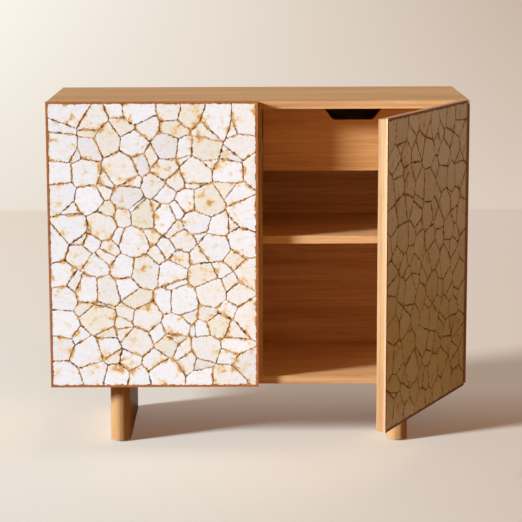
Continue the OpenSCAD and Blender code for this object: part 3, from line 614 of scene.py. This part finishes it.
OAK_GRAIN = {
    "top_panel": (X, OAK_BOARDS), "bottom_panel": (X, OAK_BOARDS),
    "left_side": (Z, OAK), "right_side": (Z, OAK), "centre_partition": (Z, OAK),
    "back_panel": (X, OAK_INSIDE_PAINTED_SHADE),
    "left_shelf": (X, OAK_BOARDS), "right_shelf": (X, OAK_BOARDS),
    "left_leg": (Z, OAK_LEGS), "right_leg": (Z, OAK_LEGS),
    "drawer_spacers": (Y, OAK),
    "left_door_core": (Z, OAK), "right_door_core": (Z, OAK),
    "left_drawer_front": (X, OAK_INSIDE_PAINTED_SHADE), "right_drawer_front": (X, OAK_INSIDE_PAINTED_SHADE),
}
for seed, (name, (grain, tones)) in enumerate(OAK_GRAIN.items(), 1):
    dress([name], wood(f"oak_{name}", grain, *tones, seed))

birch = wood("birch", Y, *BIRCH, seed=7, pores=BIRCH_PORES)
birch_x = wood("birch_x", X, *BIRCH, seed=8, pores=BIRCH_PORES)
steel = plain("steel", (0.62, 0.62, 0.63), rough=0.32, metal=1.0)
black = plain("black_plastic", (0.02, 0.02, 0.02), rough=0.5)
buffer_grey = plain("buffer", (0.35, 0.33, 0.30), rough=0.6)

dress(["partition_dowels"], birch)
dress(["leg_glides"], black)
dress(["shelf_pins", "leg_bolts", "leg_sleeves", "runner_rails", "runner_screws",
       "hinge_plates", "hinge_arms", "arm_pins", "plate_screws"], steel)
for side in ("left", "right"):
    dress([side + "_drawer_sides"], birch)
    dress([side + "_drawer_back", side + "_drawer_bottom"], birch_x)
    dress([side + "_door_strips"], COPPER[side])
    dress([side + "_buffers"], buffer_grey)
    dress([side + "_ball_cages"], black)
    dress([f"{side}_{part}" for part in (
        "hinge_cups", "cup_pins", "cup_screws", "hinge_links", "drawer_slides",
        "slide_screws", "balls")], steel)


# Stage: a pale floor. Each pair of colours is for the left and the right. The floor gives
# back less and warmer light than it shows. Its shadow is lifted for the camera only, and
# what the lift adds where the floor is lit is taken off its colour.
FLOOR_REACH = 9.0
FLOOR_END = 4.06  # its far edge, where the backdrop begins
FLOOR_LEFT_RIGHT = (-1.2, 1.2)  # x, from the left colours to the right ones
FLOOR_NEAR_FAR = (-0.5, 3.8)  # y, from the near colours to the far ones
LIFT_NEAR_FAR = (0.0, 0.6)  # y, the same for the lift
# The floor's colours are paler at the left than at the right: painted light falloff
FLOOR_NEAR = ((1.01, 1.045, 0.925), (0.782, 0.624, 0.469))
FLOOR_FAR = ((0.984, 0.892, 0.743), (0.821, 0.710, 0.585))
# The lift is weaker near the front, so the shadow by the cabinet's feet stays darker:
# painted shade
LIFT_NEAR = (0.10, 0.051, 0.035)
LIFT_FAR = (0.30, 0.256, 0.224)
LIFT_TAKEN = (1.22, 1.28, 1.24)
PAPER_BOUNCE = (0.31, 0.155, 0.045)


def seen_by_eye(tree, path):
    """1 for the rays that show a surface: straight, mirrored or through glass."""
    seen = path["Is Camera Ray"]
    for ray in ("Is Glossy Ray", "Is Transmission Ray"):
        either = add(tree, "ShaderNodeMath", "MAXIMUM")
        tree.links.new(seen, either.inputs[0])
        tree.links.new(path[ray], either.inputs[1])
        seen = either.outputs[0]
    return seen


def split_xyz(tree, kind):
    coords = add(tree, "ShaderNodeTexCoord")
    split = add(tree, "ShaderNodeSeparateXYZ")
    tree.links.new(coords.outputs[kind], split.inputs[0])
    return split.outputs


def paper_material():
    mat, tree, bsdf = new_material("studio_paper")
    path = add(tree, "ShaderNodeLightPath").outputs
    place = split_xyz(tree, "Object")
    side = between(tree, place["X"], *FLOOR_LEFT_RIGHT)
    near, far = mixed(tree, side, *FLOOR_NEAR), mixed(tree, side, *FLOOR_FAR)
    shown = mixed(tree, between(tree, place["Y"], *FLOOR_NEAR_FAR), near, far)
    lift = mixed(tree, between(tree, place["Y"], *LIFT_NEAR_FAR), LIFT_NEAR, LIFT_FAR)
    shown = mixed(tree, 1.0, shown, times(tree, lift, LIFT_TAKEN), "SUBTRACT")
    glow = mixed(tree, path["Is Camera Ray"], BLACK, lift)
    tree.links.new(glow, bsdf.inputs["Emission Color"])
    colour = mixed(tree, seen_by_eye(tree, path), PAPER_BOUNCE, shown)
    coloured(tree, bsdf, colour, Emission_Strength=1.0, Roughness=0.9,
             Specular_IOR_Level=0.1)
    return mat


def studio_floor():
    reach = (-FLOOR_REACH, FLOOR_REACH)
    verts = [(x, y, 0) for y in (-FLOOR_REACH, FLOOR_END) for x in reach]
    mesh = bpy.data.meshes.new("studio_floor")
    mesh.from_pydata(verts, [], [(0, 1, 3, 2)])
    mesh.materials.append(paper_material())
    obj = put("studio_floor", mesh)


studio_floor()

# Light: a low key from the left front, slightly cool, and a dim warm fill all round. Past
# the floor's end the world shows a pale backdrop, paler at the left, which fades into the
# fill well above the horizon. It is laid out by the X and Z of a ray's direction.
KEY_WAY = Vector((47.7, 22.0, -17.5))
KEY_STRENGTH = 6.4
KEY_COLOUR = (0.90, 1.01, 1.18)
KEY_SPREAD = math.radians(10)
FILL = (0.215, 0.105, 0.024)
BACKDROP_LEFT_RIGHT = (-0.135, 0.135)
BACKDROP_LOW_HIGH = (-0.142, -0.035)
BACKDROP_FADE = (0.10, 0.25)
# The backdrop is paler at the left than at the right: painted light falloff
BACKDROP_TOP = ((0.966, 0.919, 0.835), (0.597, 0.479, 0.389))
BACKDROP_FOOT = ((0.836, 0.770, 0.683), (0.712, 0.601, 0.508))


def key_light():
    data = bpy.data.lights.new("key", "SUN")
    data.energy = KEY_STRENGTH
    data.color = KEY_COLOUR
    data.angle = KEY_SPREAD
    put("key", data).rotation_euler = KEY_WAY.to_track_quat("-Z", "Y").to_euler()


def studio_world():
    world = bpy.data.worlds.new("studio")
    bpy.context.scene.world = world
    world.use_nodes = True
    tree = world.node_tree
    path = add(tree, "ShaderNodeLightPath").outputs
    way = split_xyz(tree, "Generated")
    side = between(tree, way["X"], *BACKDROP_LEFT_RIGHT)
    foot, top = mixed(tree, side, *BACKDROP_FOOT), mixed(tree, side, *BACKDROP_TOP)
    backdrop = mixed(tree, between(tree, way["Z"], *BACKDROP_LOW_HIGH), foot, top)
    backdrop = mixed(tree, between(tree, way["Z"], *BACKDROP_FADE), backdrop, FILL)
    shown = mixed(tree, seen_by_eye(tree, path), FILL, backdrop)
    tree.links.new(shown, tree.nodes["Background"].inputs["Color"])


key_light()
studio_world()

# Camera at the photo's angle
PHOTO_PX = 522
FOCAL_PX = 1914.7
SENSOR_MM = 36
CAMERA_PLACE = (-0.0146, -4.5635, 1.2470)
PITCH, YAW, ROLL = math.radians(-9.759), math.radians(0.254), math.radians(-0.160)


def photo_camera():
    data = bpy.data.cameras.new("photo_view")
    data.sensor_width = SENSOR_MM
    data.lens = FOCAL_PX / PHOTO_PX * SENSOR_MM
    cam = put("photo_view", data)
    cam.location = CAMERA_PLACE
    aim = (Matrix.Rotation(-YAW, 3, "Z") @ Matrix.Rotation(math.pi / 2 + PITCH, 3, "X")
           @ Matrix.Rotation(ROLL, 3, "Z"))
    cam.rotation_euler = aim.to_euler()
    bpy.context.scene.camera = cam


photo_camera()
bpy.context.scene.view_settings.view_transform = "Standard"
